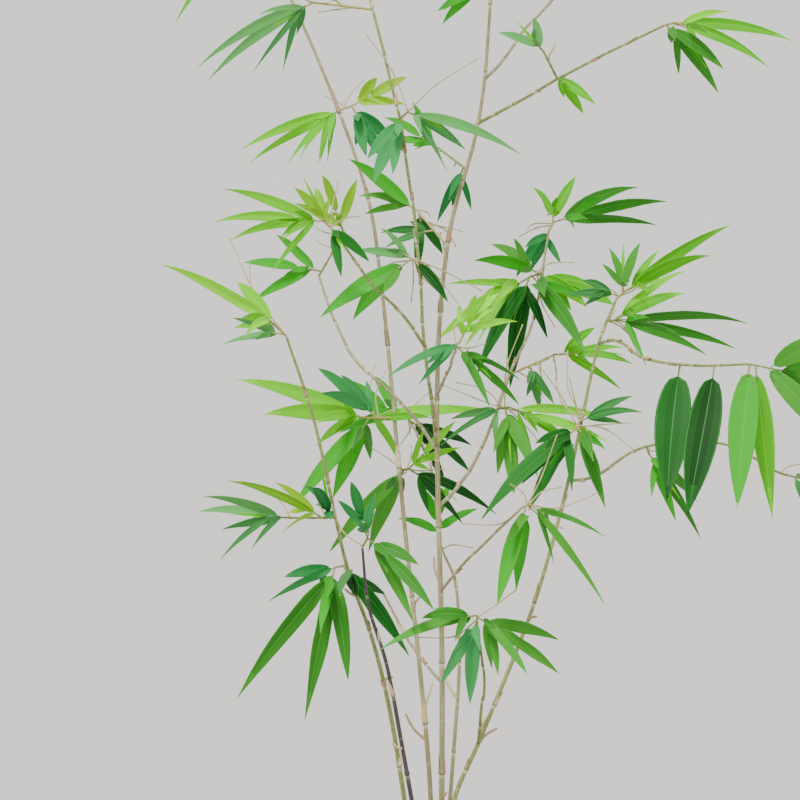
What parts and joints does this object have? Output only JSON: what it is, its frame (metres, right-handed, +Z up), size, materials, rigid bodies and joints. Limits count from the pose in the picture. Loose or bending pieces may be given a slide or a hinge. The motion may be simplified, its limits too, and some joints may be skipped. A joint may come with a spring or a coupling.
{
  "type": "potted bamboo plant",
  "caption": "Clump of slender bamboo canes with open masses of narrow leaves, standing in a plain round tapered pot of soil.",
  "frame": {"origin": "middle of the pot's flat underside", "axes": "+Z up along the plant, +X to the right and +Y away from the viewer in the view of the picture"},
  "size_m": [0.7675, 0.5428, 1.4367],
  "materials": {
    "pot": "matt unglazed",
    "soil": "loose and rough",
    "cane_straw": "smooth, slightly waxy",
    "cane_olive": "smooth, slightly waxy",
    "cane_dark": "smooth, slightly waxy",
    "leaf_bright": "thin satin leaf",
    "leaf_green": "thin satin leaf",
    "leaf_dark": "thin satin leaf",
    "leaf_pale": "thin satin leaf"
  },
  "bodies": {
    "root": {"pot": "pot", "soil": "soil", "cane_main": "cane_straw", "cane_pale": "cane_straw", "cane_left": "cane_olive", "cane_black": "cane_dark", "cane_short": "cane_straw", "cane_right": "cane_olive", "bough_front": "cane_olive", "bough_left": "cane_olive", "bough_back_left": "cane_straw", "bough_high": "cane_straw", "bough_right": "cane_olive", "bough_upper": "cane_straw", "bough_low_right": "cane_straw", "bough_low_left": "cane_straw", "shoot_low": "cane_olive", "bough_back_right": "cane_olive", "bough_front_right": "cane_olive", "bough_middle_front": "cane_straw", "bough_middle_back": "cane_straw", "foliage_left_tip": "leaf_bright", "foliage_left_lower": "leaf_pale", "foliage_left_hanging": "leaf_green", "foliage_black_tip": "leaf_green", "foliage_pale_middle": "leaf_bright", "foliage_pale_low": "leaf_dark", "foliage_pale_upper": "leaf_bright", "foliage_pale_tip": "leaf_green", "foliage_front_arm": "leaf_bright", "foliage_front_upper": "leaf_pale", "foliage_front_middle": "leaf_green", "foliage_front_tip": "leaf_green", "foliage_left_arm": "leaf_bright", "foliage_back_left": "leaf_bright", "foliage_main_left": "leaf_green", "foliage_main_upper": "leaf_green", "foliage_main_high": "leaf_green", "foliage_main_top": "leaf_green", "foliage_main_tip": "leaf_bright", "foliage_upper_tip": "leaf_green", "foliage_right_tip": "leaf_bright", "foliage_right_middle": "leaf_pale", "foliage_high_tip": "leaf_green", "foliage_high_fan": "leaf_dark", "foliage_high_middle": "leaf_bright", "foliage_high_low": "leaf_bright", "foliage_right_cane_low": "leaf_dark", "foliage_right_cane_node": "leaf_green", "foliage_right_cane_tip": "leaf_bright", "foliage_hanging_dark": "leaf_dark", "foliage_hanging_bright": "leaf_dark", "foliage_hanging_tip": "leaf_green", "foliage_back_right": "leaf_green", "foliage_back_right_tip": "leaf_pale", "foliage_low_right": "leaf_green", "foliage_low_shoot": "leaf_green", "foliage_middle_front": "leaf_pale", "foliage_middle_back": "leaf_green", "foliage_short_tip": "leaf_green"}
  },
  "joints": []
}
